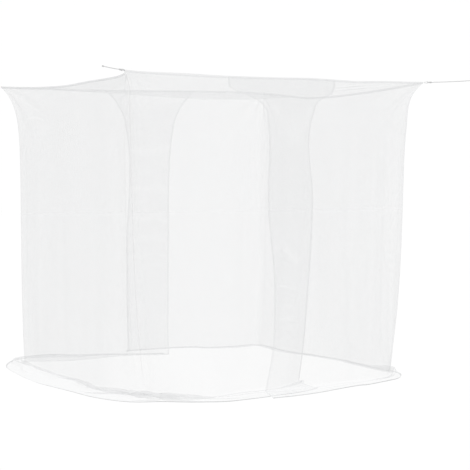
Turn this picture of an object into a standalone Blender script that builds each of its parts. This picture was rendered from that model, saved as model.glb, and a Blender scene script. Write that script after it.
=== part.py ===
"""A box-shaped mosquito net, hung by cords from its four top corners, its hems lying on the floor.

X runs along the long side, Y along the short side and Z up, in metres. The origin is midway between
the four corners that hold the net up, so everything hangs about z = 0 and below, and the floor is at
z = -DROP. A "place" is a distance round the net from the middle of the front, going left.
"""

import math

import bmesh
import bpy
import numpy as np
from mathutils import Vector

# Driving dimensions, in metres
DROP = 1.96  # from the roof's edge to the floor
CLOTH = 0.0015  # thickness of the net's sheets
TAPE = 0.0015  # thickness of the binding and of the loops
CORD = 0.005  # diameter of the hanging cords
GAP = 0.0004  # between pieces that meet face to face

# The four corners in order round the net: where the walls would meet, and the tip that the cord pulls out
CORNERS = {
    # name: (corner x, corner y, tip x, tip y, tip z)
    "front_left": (-0.965, -0.920, -1.080, -1.000, 0.005),
    "back_left": (-1.000, 0.900, -1.100, 1.000, 0.010),
    "back_right": (1.000, 0.900, 1.100, 1.000, 0.034),
    "front_right": (1.000, -0.900, 1.110, -1.010, 0.015),
}
PULL_REACH, PULL_POWER, TIP_BLUNT = 0.09, 0.75, 0.012  # how fast a tip's pull dies away
TOP_ROUNDING, WALL_ROUNDING, ROUNDING_GROWS = 0.012, 0.03, 0.25  # of the upright corners
FLOOR_ROUNDING = (0.35, 0.16, 0.12, 0.14)  # of each corner's foot, in the order above

# Height of the roof's edge, as its binding sags and rises
EAVES = (
    # wall, along it, height
    ("front", 0.00, 0.008),
    ("front", -0.35, 0.003),
    ("front", -0.80, 0.001),
    ("left", -0.65, -0.012),
    ("left", -0.30, -0.015),
    ("left", 0.12, -0.024),
    ("left", 0.50, -0.015),
    ("left", 0.85, -0.002),
    ("back", -0.50, 0.006),
    ("back", 0.00, 0.016),
    ("back", 0.50, 0.029),
    ("back", 0.95, 0.032),
    ("right", 0.60, 0.003),
    ("right", 0.25, -0.032),
    ("right", -0.05, -0.039),
    ("right", -0.45, -0.031),
    ("right", -0.80, -0.012),
    ("front", 0.90, 0.010),
    ("front", 0.60, 0.008),
    ("front", 0.30, 0.014),
)
ROOF_SAG = 0.045
ROOF_INSET = 0.0030  # from the middle of the walls' thickness to the roof's edge

# How each wall cloth stands, seen from above, as distances outwards from the line between the corners:
# the wall at half height, its foot on the floor and its hem, and how high the cloth between them heaps up
LEFT_CLOTH = (
    # wall, along it, middle, foot, hem, heap
    ("front", 0.29, 0.000, -0.110, 0.130, 0.000),
    ("front", 0.13, 0.004, -0.020, 0.215, 0.000),
    ("front", -0.10, -0.004, 0.030, 0.260, 0.000),
    ("front", -0.32, 0.006, 0.060, 0.290, 0.003),
    ("front", -0.54, -0.003, 0.115, 0.285, 0.012),
    ("front", -0.68, 0.000, 0.060, 0.215, 0.016),
    ("front", -0.81, -0.004, -0.030, 0.150, 0.018),
    ("left", -0.92, 0.000, -0.085, 0.180, 0.022),
    ("left", -0.74, -0.004, -0.050, 0.180, 0.020),
    ("left", -0.55, 0.004, 0.005, 0.195, 0.016),
    ("left", -0.30, -0.005, 0.003, 0.225, 0.020),
    ("left", 0.00, 0.006, -0.004, 0.262, 0.018),
    ("left", 0.35, -0.004, -0.004, 0.240, 0.014),
    ("left", 0.68, 0.003, -0.022, 0.190, 0.016),
    ("left", 0.90, 0.000, 0.010, 0.128, 0.022),
    ("back", -0.84, 0.002, -0.060, 0.228, 0.016),
    ("back", -0.64, -0.006, -0.125, 0.250, 0.018),
    ("back", -0.50, 0.004, -0.110, 0.130, 0.014),
    ("back", -0.34, -0.004, -0.085, 0.075, 0.010),
    ("back", -0.12, 0.000, -0.090, -0.020, 0.004),
    ("back", 0.06, 0.003, -0.165, -0.090, 0.003),
    ("back", 0.20, 0.000, -0.150, -0.080, 0.000),
)
RIGHT_CLOTH = (
    ("back", -0.15, 0.000, 0.060, 0.110, 0.000),
    ("back", 0.05, 0.005, 0.058, 0.100, 0.002),
    ("back", 0.25, -0.004, 0.050, 0.095, 0.004),
    ("back", 0.48, 0.006, -0.010, 0.050, 0.005),
    ("back", 0.76, -0.004, -0.085, -0.010, 0.006),
    ("right", 0.90, 0.000, -0.045, 0.010, 0.008),
    ("right", 0.68, 0.003, -0.066, 0.000, 0.006),
    ("right", 0.44, -0.005, -0.078, -0.015, 0.005),
    ("right", 0.18, 0.004, -0.010, 0.045, 0.006),
    ("right", -0.12, -0.003, 0.036, 0.090, 0.005),
    ("right", -0.40, 0.004, 0.022, 0.080, 0.006),
    ("right", -0.62, 0.000, 0.020, 0.075, 0.010),
    ("right", -0.78, 0.012, 0.025, 0.085, 0.012),
    ("right", -0.90, 0.040, -0.010, 0.080, 0.016),
    ("front", 0.86, 0.012, 0.030, 0.130, 0.010),
    ("front", 0.62, 0.000, 0.060, 0.205, 0.006),
    ("front", 0.38, 0.006, 0.095, 0.262, 0.004),
    ("front", 0.14, 0.010, 0.120, 0.330, 0.000),
    ("front", -0.06, 0.012, 0.130, 0.360, 0.000),
)
MIDDLE_REACHED = 0.15  # share of the height by which a wall stands at its middle distance
FOOT_POWER = 4  # how low on the wall its foot moves in or out
BEND = 0.018  # radius where a wall turns on to the floor
LIE = 0.0022  # height of cloth that lies on the floor
HEAP_SHAPE = (0.0, 1.0, 0.55, 0.15, 0.0)  # of the cloth on the floor, from the bend to the hem

# Where each free edge hangs. Both cloths are sewn on wide at the top, so they lap more there.
LEFT_CLOTH_FRONT_EDGE = (
    # down from the roof's edge, along the wall
    (0.00, 0.470),
    (0.09, 0.435),
    (0.14, 0.345),
    (0.22, 0.306),
    (0.80, 0.308),
    (1.35, 0.292),
    (1.95, 0.275),
    (2.25, 0.255),
)
LEFT_CLOTH_BACK_EDGE = (
    (0.00, 0.400),
    (0.03, 0.378),
    (0.11, 0.309),
    (0.20, 0.258),
    (0.35, 0.224),
    (0.55, 0.206),
    (1.20, 0.188),
    (1.60, 0.160),
    (1.95, 0.118),
    (2.25, 0.105),
)
RIGHT_CLOTH_BACK_EDGE = (
    (0.00, -0.340),
    (0.04, -0.282),
    (0.12, -0.218),
    (0.20, -0.176),
    (0.30, -0.154),
    (1.20, -0.148),
    (1.60, -0.136),
    (1.95, -0.112),
    (2.25, -0.100),
)
RIGHT_CLOTH_FRONT_EDGE = (
    (0.00, -0.340),
    (0.08, -0.300),
    (0.13, -0.150),
    (0.19, -0.075),
    (0.27, -0.060),
    (0.80, -0.055),
    (1.35, -0.020),
    (1.75, -0.070),
    (1.95, -0.140),
    (2.25, -0.225),
)
EDGE_REACH = 0.75  # how far from a free edge the cloth follows its drift
EDGE_COLUMNS = 0.06  # between a free edge and the first fixed place that the cloth uses

# The right cloth hangs outside the left one where they lap
LAPS = {"front": (-0.36, 0.50), "back": (-0.37, 0.43)}  # from where to where along the wall
LAP_EASE = 0.12  # over which the outer cloth comes in again beside a lap
LAP_TOP, LAP_LOW, LAP_OPENS = 0.0045, 0.012, 0.25  # between the two, at the top and from this far down
LAP_LIFT = 0.008  # of the outer cloth where it lies on the inner one

# Where each side and each wall is divided
SIDE_SHARES = (0.0, 0.003, 0.010, 0.025, 0.055, 0.11, 0.20, 0.30, 0.40, 0.50)  # mirrored past half way
WALL_DOWN = (0.0, 0.009, 0.018, 0.035, 0.065, 0.11, 0.18, 0.30, 0.50, 0.80, 1.15, 1.45, 1.68, 1.84)
BEND_ANGLES = (0.0, 45.0, 90.0)

# The binding stands outside the tops of the walls and a little above the roof
BINDING_ABOVE, BINDING_OUT = 0.004, 0.0029
BINDING_DOWN = (0.0, 0.005, 0.010)

# The loops of tape at the tips, and the cords with an eye and a knot at one end and a knot at the other
LOOP_LONG, LOOP_HIGH, LOOP_WIDE, LOOP_OUT = 0.030, 0.013, 0.008, 0.0060
LOOP_POINTS = 20
EYE_RADIUS, EYE_SIDES, EYE_STEPS = 0.008, 10, 18
KNOT_RADIUS, KNOT_LONG, KNOT_OUT = 0.0055, 0.015, 0.014
END_KNOT_RADIUS, END_KNOT_LONG = 0.0050, 0.013
CORD_STEP = 0.0125
CORDS = {
    # corner: (direction x, direction y, rise per metre, length, sag)
    "front_left": (-0.877, -0.479, 0.050, 0.150, 0.0010),
    "back_left": (-0.707, 0.707, 0.035, 0.160, 0.0012),
    "back_right": (0.707, 0.707, 0.035, 0.200, 0.0015),
    "front_right": (0.707, -0.707, 0.035, 0.300, 0.0025),
}

FINISHES = {
    # name: (colour, roughness)
    "net": ((0.90, 0.91, 0.92, 1.0), 0.70),
    "tape": ((0.86, 0.87, 0.88, 1.0), 0.65),
    "cord": ((0.66, 0.66, 0.67, 1.0), 0.60),
}


def ease(share):
    """0 to 1 with level ends."""
    share = min(max(share, 0.0), 1.0)
    return share * share * (3 - 2 * share)


def smooth(xs, ys, x):
    """A smooth curve through the points (xs, ys), read at x."""
    xs, ys = np.asarray(xs, float), np.asarray(ys, float)
    x = float(np.clip(x, xs[0], xs[-1]))
    i = min(int(np.searchsorted(xs, x, "right")) - 1, len(xs) - 2)
    slopes = np.gradient(ys, xs)
    long = xs[i + 1] - xs[i]
    t = (x - xs[i]) / long
    ends = ys[i] * (1 + 2 * t) * (1 - t) ** 2 + ys[i + 1] * t * t * (3 - 2 * t)
    return float(ends + long * t * (1 - t) * (slopes[i] * (1 - t) - slopes[i + 1] * t))


class Round:
    """The net's outline from above, measured round its sides."""

    def __init__(self):
        corners = [Vector(c[:2]) for c in CORNERS.values()]
        middle = Vector((0.0, (corners[0].y + corners[3].y) / 2))
        self.points = [middle, *corners, middle]
        self.sides = [b - a for a, b in zip(self.points, self.points[1:])]
        self.starts = [0.0]
        for side in self.sides:
            self.starts.append(self.starts[-1] + side.length)
        self.corners = self.starts[1:5]
        self.length = self.starts[5]

    def place(self, wall, along, late=False):
        """The place of a point on a wall. The front comes both first and last: late means last."""
        if wall == "front":
            return self.length - along if late else -along
        side = ("left", "back", "right").index(wall) + 1
        axis = 0 if wall == "back" else 1
        share = (along - self.points[side][axis]) / self.sides[side][axis]
        return self.starts[side] + share * self.sides[side].length

    def nearest_corner(self, place):
        """(which corner is nearest, how far past it the place is)"""
        half = self.length / 2
        past = [(place - corner + half) % self.length - half for corner in self.corners]
        which = min(range(4), key=lambda i: abs(past[i]))
        return which, past[which]

    def at(self, place, rounding):
        """(point, outward direction) at a place, with the corners rounded."""
        which, past = self.nearest_corner(place)
        before, after = self.sides[which].normalized(), self.sides[which + 1].normalized()
        if abs(past) < rounding:
            back, ahead = (rounding - past) ** 2 / (4 * rounding), (rounding + past) ** 2 / (4 * rounding)
        else:
            back, ahead = max(-past, 0.0), max(past, 0.0)
        turned = min(max((past + rounding) / (2 * rounding), 0.0), 1.0)
        along = (before * (1 - turned) + after * turned).normalized()
        return self.points[which + 1] - before * back + after * ahead, Vector((-along.y, along.x))

    def lapped(self, place):
        """How far a place is in a lap, from 0 to 1."""
        place %= self.length
        if place < self.corners[0] or place > self.corners[3]:
            low, high = LAPS["front"]
            x = -place if place < self.corners[0] else self.length - place
        elif self.corners[1] < place < self.corners[2]:
            low, high = LAPS["back"]
            x = self.points[2].x + place - self.corners[1]
        else:
            return 0.0
        return ease((x - low) / LAP_EASE + 1) * ease((high - x) / LAP_EASE + 1)


NET = Round()


def eave(place):
    """Height of the roof's edge at a place."""
    rows = sorted((NET.place(wall, along, along > 0), height) for wall, along, height in EAVES)
    places = [p + turn * NET.length for turn in (-1, 0, 1) for p, _ in rows]
    return smooth(places, [height for _, height in rows] * 3, place)


def on_net(place, down, out, height):
    """A point of the net at a place round it, a distance down from its top edge and out from its outline."""
    which, past = NET.nearest_corner(place)
    wall_rounding = TOP_ROUNDING + (WALL_ROUNDING - TOP_ROUNDING) * ease(down / ROUNDING_GROWS)
    low = min(down / DROP, 1.0) ** FOOT_POWER
    rounding = wall_rounding + (FLOOR_ROUNDING[which] - WALL_ROUNDING) * low
    point, outward = NET.at(place, rounding)
    corner_x, corner_y, *tip = list(CORNERS.values())[which]
    pull = Vector(tip) - Vector((corner_x, corner_y, eave(NET.corners[which])))
    blunt = (TIP_BLUNT / PULL_REACH) ** PULL_POWER
    away = (math.hypot(past, down, TIP_BLUNT) / PULL_REACH) ** PULL_POWER
    return (point + outward * out).to_3d() + Vector((0, 0, height)) + pull * math.exp(blunt - away)


def lap_out(place, down):
    """How far the outer cloth stands outside the inner one's line."""
    return NET.lapped(place) * (LAP_TOP + (LAP_LOW - LAP_TOP) * ease(down / LAP_OPENS))


def all_shares():
    """Where a side is divided, from 0 to 1."""
    return [*SIDE_SHARES, *(1 - share for share in SIDE_SHARES[-2::-1])]


def side_places():
    """The places where the net's outline is divided, in a list for each side, both corners included."""
    corners = [*NET.corners, NET.corners[0] + NET.length]
    return [[a + (b - a) * share for share in all_shares()] for a, b in zip(corners, corners[1:])]


def finish(name, kind):
    """A material of the sub-part's own, of one of the finishes."""
    colour, roughness = FINISHES[kind]
    material = bpy.data.materials.new(name)
    material.use_nodes = True
    shader = material.node_tree.nodes["Principled BSDF"]
    shader.inputs["Base Color"].default_value = colour
    shader.inputs["Roughness"].default_value = roughness
    shader.inputs["Metallic"].default_value = 0.0
    return material


def add_object(name, data, kind, parent=None):
    """An object of the scene, with its material on the object's own slot."""
    thing = bpy.data.objects.new(name, data)
    bpy.context.collection.objects.link(thing)
    if not data.materials:
        data.materials.append(None)
    thing.material_slots[0].link = "OBJECT"
    thing.material_slots[0].material = finish(name, kind)
    thing.parent = parent
    return thing


def sheet_mesh(name, rows, closed=False):
    """The middle surface of a sheet through rows of points, joined up at the ends where it is closed."""
    mesh = bmesh.new()
    verts = [[mesh.verts.new(point) for point in row] for row in rows]
    for upper, lower in zip(verts, verts[1:]):
        following = [*range(1, len(upper)), *([0] if closed else [])]
        for i, j in enumerate(following):
            mesh.faces.new((upper[i], lower[i], lower[j], upper[j]))
    data = bpy.data.meshes.new(name)
    mesh.to_mesh(data)
    mesh.free()
    data.shade_smooth()
    return data


def thicken(thing, thickness):
    """The sheet's thickness, half on each side of its middle surface."""
    solidify = thing.modifiers.new("thickness", "SOLIDIFY")
    solidify.thickness = thickness
    solidify.offset = 0.0


class WallCloth:
    """One of the two cloths that make the walls, read from its table and its free edges."""

    def __init__(self, table, start_edge, end_edge, late, outer):
        self.places = [NET.place(row[0], row[1], late) for row in table]
        self.middles, self.feet, self.hems, self.heaps = zip(*(row[2:] for row in table))
        self.edges = []
        for wall, edge in ((table[0][0], start_edge), (table[-1][0], end_edge)):
            downs = [down for down, _ in edge]
            self.edges.append((downs, [NET.place(wall, along, late) for _, along in edge]))
        self.outer = outer

    def tops(self):
        """The places along the cloth's top edge."""
        start, end = (places[0] for _, places in self.edges)
        shared = [place for side in side_places() for place in side[:-1]]
        shared = sorted(place + turn * NET.length for turn in (-1, 0, 1) for place in shared)
        inside = [place for place in shared if start + EDGE_COLUMNS < place < end - EDGE_COLUMNS]
        return [start, start + EDGE_COLUMNS / 2, *inside, end - EDGE_COLUMNS / 2, end]

    def drifted(self, top, down):
        """Where a place of the top edge is, a distance down the cloth."""
        place = top
        for downs, places in self.edges:
            follows = 1 - ease(abs(top - places[0]) / EDGE_REACH)
            place += follows * (smooth(downs, places, down) - places[0])
        return place

    def read(self, column, place):
        return smooth(self.places, column, place)

    def floor(self, place):
        """Height of the cloth where it lies flat: on the floor, or on the other cloth."""
        return -DROP + LIE + (LAP_LIFT * NET.lapped(place) if self.outer else 0.0)

    def on_wall(self, place, down):
        """(distance out, height) of the hanging part of the cloth."""
        share = down / (DROP - BEND - LIE)
        middle, foot = self.read(self.middles, place), self.read(self.feet, place)
        out = middle * ease(share / MIDDLE_REACHED) + (foot - middle) * share**FOOT_POWER
        return out, eave(place) * (1 - share) + (self.floor(place) + BEND) * share

    def on_bend(self, place, angle):
        """(distance out, height) where the cloth turns on to the floor."""
        out = self.read(self.feet, place) + BEND * (1 - math.cos(angle))
        return out, self.floor(place) + BEND * (1 - math.sin(angle))

    def on_floor(self, place, share, heaped):
        """(distance out, height) of the cloth that lies on the floor."""
        start, hem = self.read(self.feet, place) + BEND, self.read(self.hems, place)
        out = start + max(hem - start, BEND) * share
        return out, self.floor(place) + heaped * max(self.read(self.heaps, place), 0.0)

    def row(self, down, path, *values):
        """A row of points across the cloth, a distance down it."""
        points = []
        for top in self.tops():
            place = self.drifted(top, down)
            out, height = path(place, *values)
            points.append(on_net(place, down, out + (lap_out(place, down) if self.outer else 0.0), height))
        return points

    def rows(self):
        """Rows of points from the roof's edge down the wall, round the bend and out to the hem."""
        grid = [self.row(down, self.on_wall, down) for down in WALL_DOWN]
        for angle in map(math.radians, BEND_ANGLES):
            grid.append(self.row(DROP - BEND * (1 - angle), self.on_bend, angle))
        floor_start, cut = DROP + BEND, self.edges[0][0][-1]
        for step, heaped in enumerate(HEAP_SHAPE[1:], 1):
            share = step / (len(HEAP_SHAPE) - 1)
            down = floor_start + (cut - floor_start) * share
            grid.append(self.row(down, self.on_floor, share, heaped))
        return grid


def make_wall_cloths():
    """The two wall cloths, each from one entrance round two corners to the other."""
    left = WallCloth(LEFT_CLOTH, LEFT_CLOTH_FRONT_EDGE, LEFT_CLOTH_BACK_EDGE, late=False, outer=False)
    right = WallCloth(RIGHT_CLOTH, RIGHT_CLOTH_BACK_EDGE, RIGHT_CLOTH_FRONT_EDGE, late=True, outer=True)
    for name, cloth in (("wall_cloth_left", left), ("wall_cloth_right", right)):
        thicken(add_object(name, sheet_mesh(name, cloth.rows()), "net"), CLOTH)


def make_roof():
    """The roof panel, stretched between its four edges and sagging in the middle."""
    edges = [[on_net(place, 0.0, -ROOF_INSET, eave(place)) for place in side] for side in side_places()]
    left, back, right, front = edges[0], edges[1], edges[2][::-1], edges[3][::-1]
    rows = []
    for i, u in enumerate(all_shares()):
        row = []
        for j, v in enumerate(all_shares()):
            between_edges = front[i] * (1 - v) + back[i] * v + left[j] * (1 - u) + right[j] * u
            between_tips = (left[0] * (1 - u) + right[0] * u) * (1 - v)
            between_tips += (left[-1] * (1 - u) + right[-1] * u) * v
            sag = ROOF_SAG * math.sin(math.pi * u) * math.sin(math.pi * v)
            row.append(between_edges - between_tips - Vector((0, 0, sag)))
        rows.append(row)
    thicken(add_object("roof_panel", sheet_mesh("roof_panel", rows), "net"), CLOTH)


def make_binding():
    """The tape that binds the roof's edge to the walls, all the way round."""
    places = [place % NET.length for side in side_places() for place in side[:-1]]
    rows = []
    for down, above in ((0.0, BINDING_ABOVE), *((down, 0.0) for down in BINDING_DOWN)):
        outs = [BINDING_OUT + lap_out(place, down) for place in places]
        rows.append([on_net(p, down, out, eave(p) - down + above) for p, out in zip(places, outs)])
    thicken(add_object("edge_binding", sheet_mesh("edge_binding", rows, closed=True), "tape"), TAPE)


def loop_mesh():
    """A flat loop of tape, from x = 0 along x, with its hole across y."""
    radius = (LOOP_HIGH - TAPE) / 2
    straight = LOOP_LONG - LOOP_HIGH
    around = []
    for i in range(LOOP_POINTS):
        angle = 2 * math.pi * (i + 0.5) / LOOP_POINTS
        centre = LOOP_HIGH / 2 + (straight if math.cos(angle) > 0 else 0.0)
        around.append((centre + radius * math.cos(angle), radius * math.sin(angle)))
    rows = [[Vector((x, y, z)) for x, z in around] for y in (LOOP_WIDE / 2, -LOOP_WIDE / 2)]
    return sheet_mesh("corner_loop", rows, closed=True)


def eye_mesh():
    """The ring of cord that goes through a loop of tape."""
    mesh = bmesh.new()
    angles = [2 * math.pi * i / EYE_SIDES for i in range(EYE_SIDES)]
    radius = CORD / 2
    profile = [mesh.verts.new((EYE_RADIUS + radius * math.cos(a), 0, radius * math.sin(a))) for a in angles]
    edges = [mesh.edges.new(ends) for ends in zip(profile, profile[1:] + profile[:1])]
    bmesh.ops.spin(
        mesh, geom=profile + edges, axis=(0, 0, 1), angle=2 * math.pi, steps=EYE_STEPS, use_merge=True
    )
    bmesh.ops.recalc_face_normals(mesh, faces=mesh.faces)
    data = bpy.data.meshes.new("eye")
    mesh.to_mesh(data)
    mesh.free()
    data.shade_smooth()
    return data


def knot_mesh(name, radius, long, centre):
    """An egg-shaped knot along x."""
    mesh = bmesh.new()
    bmesh.ops.create_uvsphere(mesh, u_segments=12, v_segments=8, radius=1.0)
    for vert in mesh.verts:
        x, y, z = vert.co
        vert.co = (centre + z * long / 2, x * radius, y * radius)
    data = bpy.data.meshes.new(name)
    mesh.to_mesh(data)
    mesh.free()
    data.shade_smooth()
    return data


def cord_curve(name, start, length, sag):
    """A cord along x from its start, sagging a little between its ends."""
    points = round(length / CORD_STEP) + 1
    data = bpy.data.curves.new(name, "CURVE")
    data.dimensions = "3D"
    data.bevel_depth = CORD / 2
    data.bevel_resolution = 2
    data.use_fill_caps = True
    spline = data.splines.new("POLY")
    spline.points.add(points - 1)
    for i, point in enumerate(spline.points):
        share = i / (points - 1)
        point.co = (start + length * share, 0.0, -4 * sag * share * (1 - share), 1.0)
    return data


def make_corner(name, loop, eye, knot, end_knot):
    """The loop, cord and knots of one corner, on an empty that points along the cord."""
    x, y, rise, length, sag = CORDS[name]
    place = NET.corners[list(CORNERS).index(name)]
    corner = bpy.data.objects.new("corner_" + name, None)
    bpy.context.collection.objects.link(corner)
    along = Vector((x, y, rise)).normalized()
    corner.location = on_net(place, 0.0, BINDING_OUT, eave(place)) + along * LOOP_OUT
    corner.rotation_mode = "QUATERNION"
    corner.rotation_quaternion = along.to_track_quat("X", "Z")

    thicken(add_object("corner_loop_" + name, loop, "tape", corner), TAPE)
    hole_end = LOOP_LONG - TAPE / 2
    tie = add_object("tie_knot_" + name, knot, "cord", corner)
    tie.location.x = hole_end
    ring = add_object("eye_" + name, eye, "cord", corner)
    ring.location.x = hole_end
    ring.hide_render = True
    ring.display_type = "WIRE"
    union = tie.modifiers.new("eye", "BOOLEAN")
    union.operation = "UNION"
    union.object = ring

    start = hole_end + KNOT_OUT + KNOT_LONG / 2 + GAP
    add_object("cord_" + name, cord_curve("cord_" + name, start, length, sag), "cord", corner)
    end = add_object("end_knot_" + name, end_knot, "cord", corner)
    end.location.x = start + length + GAP + END_KNOT_LONG / 2


def main():
    for thing in list(bpy.data.objects):
        bpy.data.objects.remove(thing)
    make_roof()
    make_wall_cloths()
    make_binding()
    loop, eye = loop_mesh(), eye_mesh()
    knot = knot_mesh("tie_knot", KNOT_RADIUS, KNOT_LONG, KNOT_OUT)
    end_knot = knot_mesh("end_knot", END_KNOT_RADIUS, END_KNOT_LONG, 0.0)
    for name in CORNERS:
        make_corner(name, loop, eye, knot, end_knot)
    bpy.context.view_layer.update()


main()
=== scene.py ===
"""The looks of a box-shaped mosquito net, hung by cords from its four top corners.

Each cloth is an open sheet of sheer mesh on the folds that it hangs and lies in. A "place" is a distance
round the net from the middle of the front, going left, and "down" is a distance along the cloth from the
roof's edge. Everything is in metres, in the frame's axes.
"""

import math

import bpy
import numpy as np
from bpy.props import FloatProperty, FloatVectorProperty, IntProperty, PointerProperty
from mathutils import Matrix, Vector


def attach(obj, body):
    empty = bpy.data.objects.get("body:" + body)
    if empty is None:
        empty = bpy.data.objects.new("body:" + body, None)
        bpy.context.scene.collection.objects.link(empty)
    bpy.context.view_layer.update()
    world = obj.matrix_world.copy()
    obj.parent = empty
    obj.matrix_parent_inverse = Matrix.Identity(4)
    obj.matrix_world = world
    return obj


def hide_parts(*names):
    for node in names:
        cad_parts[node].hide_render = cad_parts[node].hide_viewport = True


bl_info = {
    "name": "Box Mosquito Net",
    "version": (1, 0, 0),
    "blender": (4, 5, 0),
    "location": "View3D > Sidebar > Mosquito Net",
    "description": "Dresses a hanging box net: sheer cloths, binding, loops, knots and cords",
    "category": "Object",
}

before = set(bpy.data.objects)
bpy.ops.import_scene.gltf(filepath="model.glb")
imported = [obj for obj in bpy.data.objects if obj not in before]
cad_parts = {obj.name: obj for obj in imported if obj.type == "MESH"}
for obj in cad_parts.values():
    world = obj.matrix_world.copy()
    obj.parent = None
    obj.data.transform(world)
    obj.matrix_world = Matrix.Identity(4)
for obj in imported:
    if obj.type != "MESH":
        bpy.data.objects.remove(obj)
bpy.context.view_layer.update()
FLOOR = -1.96  # height of the floor that the hems lie on

# ---------------------------------------------------------------- how the net hangs

CORNERS = {
    # name: (corner x, corner y, tip x, tip y, tip z)
    "front_left": (-0.965, -0.920, -1.080, -1.000, 0.005),
    "back_left": (-1.000, 0.900, -1.100, 1.000, 0.010),
    "back_right": (1.000, 0.900, 1.100, 1.000, 0.034),
    "front_right": (1.000, -0.900, 1.110, -1.010, 0.015),
}
PULL_REACH, PULL_POWER, TIP_BLUNT = 0.09, 0.75, 0.012
# How far from a corner its rounding starts: at the roof's edge, in the walls and, for each, on the floor
TOP_ROUNDING, WALL_ROUNDING, ROUNDING_GROWS = 0.012, 0.03, 0.25
FLOOR_ROUNDING = (0.35, 0.16, 0.12, 0.14)

EAVES = (
    # wall, along it, height
    ("front", 0.00, 0.008),
    ("front", -0.35, 0.003),
    ("front", -0.80, 0.001),
    ("left", -0.65, -0.012),
    ("left", -0.30, -0.015),
    ("left", 0.12, -0.024),
    ("left", 0.50, -0.015),
    ("left", 0.85, -0.002),
    ("back", -0.50, 0.006),
    ("back", 0.00, 0.016),
    ("back", 0.50, 0.029),
    ("back", 0.95, 0.032),
    ("right", 0.60, 0.003),
    ("right", 0.25, -0.032),
    ("right", -0.05, -0.039),
    ("right", -0.45, -0.031),
    ("right", -0.80, -0.012),
    ("front", 0.90, 0.010),
    ("front", 0.60, 0.008),
    ("front", 0.30, 0.014),
)

# Each wall cloth from above: how far out it stands halfway down, at its foot and at its hem, and how
# high it heaps up on the floor
LEFT_CLOTH = (
    # wall, along it, middle, foot, hem, heap
    ("front", 0.29, 0.000, -0.110, 0.130, 0.000),
    ("front", 0.13, 0.004, -0.020, 0.215, 0.000),
    ("front", -0.10, -0.004, 0.030, 0.260, 0.000),
    ("front", -0.32, 0.006, 0.060, 0.290, 0.003),
    ("front", -0.54, -0.003, 0.115, 0.285, 0.012),
    ("front", -0.68, 0.000, 0.060, 0.215, 0.016),
    ("front", -0.81, -0.004, -0.030, 0.150, 0.018),
    ("left", -0.92, 0.000, -0.085, 0.180, 0.022),
    ("left", -0.74, -0.004, -0.050, 0.180, 0.020),
    ("left", -0.55, 0.004, 0.005, 0.195, 0.016),
    ("left", -0.30, -0.005, 0.003, 0.225, 0.020),
    ("left", 0.00, 0.006, -0.004, 0.262, 0.018),
    ("left", 0.35, -0.004, -0.004, 0.240, 0.014),
    ("left", 0.68, 0.003, -0.022, 0.190, 0.016),
    ("left", 0.90, 0.000, 0.010, 0.128, 0.022),
    ("back", -0.84, 0.002, -0.060, 0.228, 0.016),
    ("back", -0.64, -0.006, -0.125, 0.250, 0.018),
    ("back", -0.50, 0.004, -0.110, 0.130, 0.014),
    ("back", -0.34, -0.004, -0.085, 0.075, 0.010),
    ("back", -0.12, 0.000, -0.090, -0.020, 0.004),
    ("back", 0.06, 0.003, -0.165, -0.090, 0.003),
    ("back", 0.20, 0.000, -0.150, -0.080, 0.000),
)
RIGHT_CLOTH = (
    ("back", -0.15, 0.000, 0.060, 0.110, 0.000),
    ("back", 0.05, 0.005, 0.058, 0.100, 0.002),
    ("back", 0.25, -0.004, 0.050, 0.095, 0.004),
    ("back", 0.48, 0.006, -0.010, 0.050, 0.005),
    ("back", 0.76, -0.004, -0.085, -0.010, 0.006),
    ("right", 0.90, 0.000, -0.045, 0.010, 0.008),
    ("right", 0.68, 0.003, -0.066, 0.000, 0.006),
    ("right", 0.44, -0.005, -0.078, -0.015, 0.005),
    ("right", 0.18, 0.004, -0.010, 0.045, 0.006),
    ("right", -0.12, -0.003, 0.036, 0.090, 0.005),
    ("right", -0.40, 0.004, 0.022, 0.080, 0.006),
    ("right", -0.62, 0.000, 0.020, 0.075, 0.010),
    ("right", -0.78, 0.012, 0.025, 0.085, 0.012),
    ("right", -0.90, 0.040, -0.010, 0.080, 0.016),
    ("front", 0.86, 0.012, 0.030, 0.130, 0.010),
    ("front", 0.62, 0.000, 0.060, 0.205, 0.006),
    ("front", 0.38, 0.006, 0.095, 0.262, 0.004),
    ("front", 0.14, 0.010, 0.120, 0.330, 0.000),
    ("front", -0.06, 0.012, 0.130, 0.360, 0.000),
)
MIDDLE_REACHED, FOOT_POWER, BEND, LIE = 0.15, 4, 0.018, 0.0022
HEAP_SHAPE = (0.0, 1.0, 0.55, 0.15, 0.0)

# Where each free edge hangs: (down, along its wall)
LEFT_FRONT_EDGE = (
    (0.00, 0.470),
    (0.09, 0.435),
    (0.14, 0.345),
    (0.22, 0.306),
    (0.80, 0.308),
    (1.35, 0.292),
    (1.95, 0.275),
    (2.25, 0.255),
)
LEFT_BACK_EDGE = (
    (0.00, 0.400),
    (0.03, 0.378),
    (0.11, 0.309),
    (0.20, 0.258),
    (0.35, 0.224),
    (0.55, 0.206),
    (1.20, 0.188),
    (1.60, 0.160),
    (1.95, 0.118),
    (2.25, 0.105),
)
RIGHT_BACK_EDGE = (
    (0.00, -0.340),
    (0.04, -0.282),
    (0.12, -0.218),
    (0.20, -0.176),
    (0.30, -0.154),
    (1.20, -0.148),
    (1.60, -0.136),
    (1.95, -0.112),
    (2.25, -0.100),
)
RIGHT_FRONT_EDGE = (
    (0.00, -0.340),
    (0.08, -0.300),
    (0.13, -0.150),
    (0.19, -0.075),
    (0.27, -0.060),
    (0.80, -0.055),
    (1.35, -0.020),
    (1.75, -0.070),
    (1.95, -0.140),
    (2.25, -0.225),
)
EDGE_REACH = 0.75
CUT = 2.25  # length of the wall cloths from the roof's edge to the hem

LAPS = {"front": (-0.36, 0.50), "back": (-0.37, 0.43)}
LAP_EASE, LAP_TOP, LAP_LOW, LAP_OPENS, LAP_LIFT = 0.12, 0.0045, 0.012, 0.25, 0.008

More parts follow.
